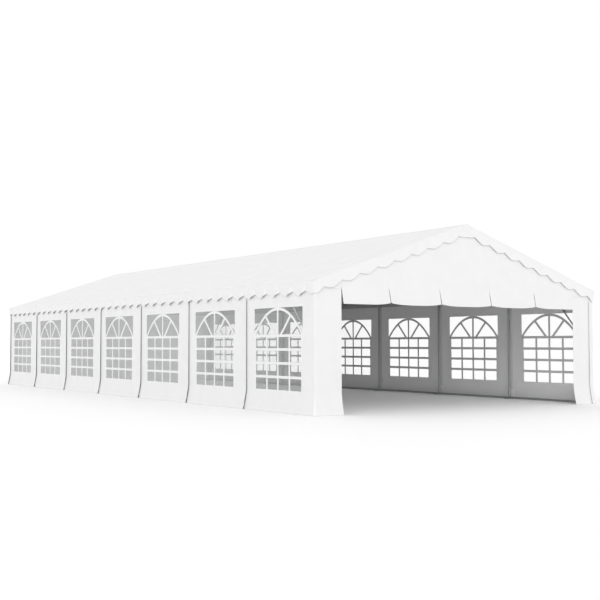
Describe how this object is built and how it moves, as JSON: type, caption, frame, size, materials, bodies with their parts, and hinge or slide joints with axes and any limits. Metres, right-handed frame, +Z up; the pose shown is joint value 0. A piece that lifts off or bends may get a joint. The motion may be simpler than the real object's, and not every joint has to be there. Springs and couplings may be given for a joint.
{
  "type": "marquee tent",
  "caption": "Gable-roofed white marquee tent on a steel tube frame, with scalloped valances, arched windows along both long sides and an open front end.",
  "frame": {"origin": "middle of the plan, on the ground that the feet stand on", "axes": "+X across the tent, to the right seen from the open front; +Y along it, from the open front to the closed back; +Z up"},
  "size_m": [6.11, 14.11, 3],
  "materials": {
    "white_pvc": "satin coated cloth",
    "clear_pvc": "clear flexible sheet",
    "galvanised_steel": "galvanised"
  },
  "bodies": {
    "root": {"left_wall_1": "white_pvc", "left_wall_2": "white_pvc", "left_wall_3": "white_pvc", "left_wall_4": "white_pvc", "left_wall_5": "white_pvc", "left_wall_6": "white_pvc", "left_wall_7": "white_pvc", "right_wall_1": "white_pvc", "right_wall_2": "white_pvc", "right_wall_3": "white_pvc", "right_wall_4": "white_pvc", "right_wall_5": "white_pvc", "right_wall_6": "white_pvc", "right_wall_7": "white_pvc", "left_window_sheet": "clear_pvc", "right_window_sheet": "clear_pvc", "front_strip_left": "white_pvc", "front_strip_right": "white_pvc", "back_strip_left": "white_pvc", "back_strip_right": "white_pvc", "back_leaf_left": "white_pvc", "back_leaf_right": "white_pvc", "front_gable": "white_pvc", "back_gable": "white_pvc", "roof_cover": "white_pvc", "left_valance": "white_pvc", "right_valance": "white_pvc", "front_valance": "white_pvc", "back_valance": "white_pvc", "left_frame_1": "galvanised_steel", "left_frame_2": "galvanised_steel", "left_frame_3": "galvanised_steel", "left_frame_4": "galvanised_steel", "left_frame_5": "galvanised_steel", "left_frame_6": "galvanised_steel", "left_frame_7": "galvanised_steel", "left_frame_8": "galvanised_steel", "right_frame_1": "galvanised_steel", "right_frame_2": "galvanised_steel", "right_frame_3": "galvanised_steel", "right_frame_4": "galvanised_steel", "right_frame_5": "galvanised_steel", "right_frame_6": "galvanised_steel", "right_frame_7": "galvanised_steel", "right_frame_8": "galvanised_steel", "ridge_rail": "galvanised_steel", "left_purlin": "galvanised_steel", "right_purlin": "galvanised_steel", "left_eave_rail": "galvanised_steel", "right_eave_rail": "galvanised_steel", "left_ground_rail": "galvanised_steel", "right_ground_rail": "galvanised_steel", "front_left_knee_brace": "galvanised_steel", "front_right_knee_brace": "galvanised_steel", "back_left_knee_brace": "galvanised_steel", "back_right_knee_brace": "galvanised_steel"}
  },
  "joints": []
}
